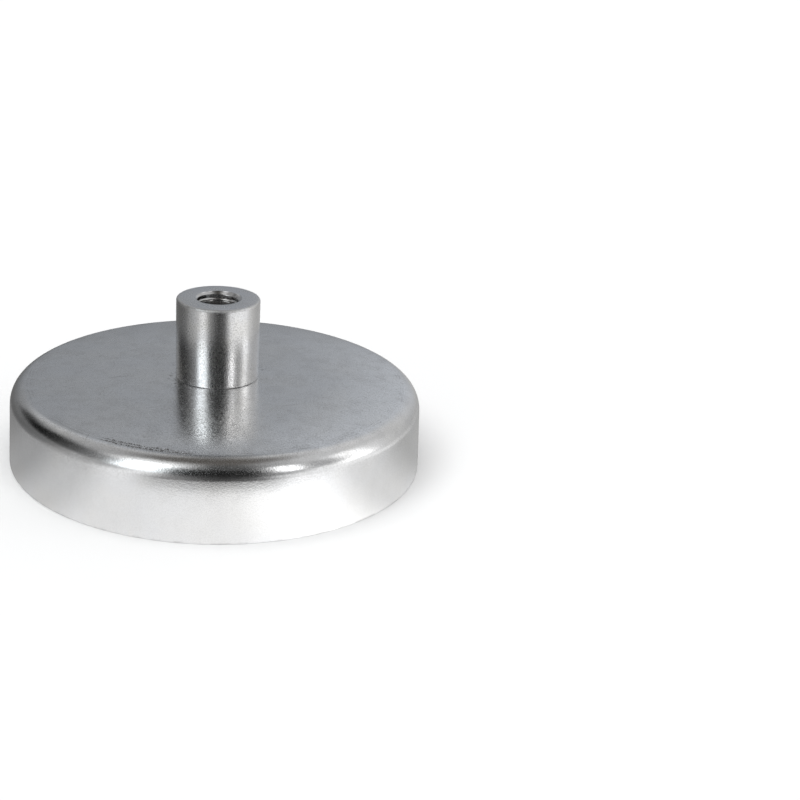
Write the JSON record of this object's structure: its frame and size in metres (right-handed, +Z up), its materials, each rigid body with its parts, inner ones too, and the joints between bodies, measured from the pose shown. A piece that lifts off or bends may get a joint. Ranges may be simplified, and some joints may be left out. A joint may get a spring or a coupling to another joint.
{
  "type": "ferrite pot magnet with threaded bush",
  "caption": "Round steel pot magnet with a ferrite disc potted into its open face and a central bush with a blind metric thread, for hauling iron out of water.",
  "frame": {"origin": "centre of the holding face, the flat face of ferrite and rim that grips iron", "axes": "+Z runs up the axis of the pot and the threaded bush, away from the holding face; X and Y are free, because the object is round"},
  "size_m": [0.125, 0.125, 0.05],
  "materials": {
    "plated_steel": "satin",
    "turned_steel": "satin",
    "ferrite": "satin",
    "bond": "gloss",
    "potting": "gloss"
  },
  "bodies": {
    "root": {"steel_pot": "plated_steel", "threaded_bush": "turned_steel", "ferrite_disc": "ferrite", "bond_film": "bond", "potting_ring": "potting"}
  },
  "joints": []
}
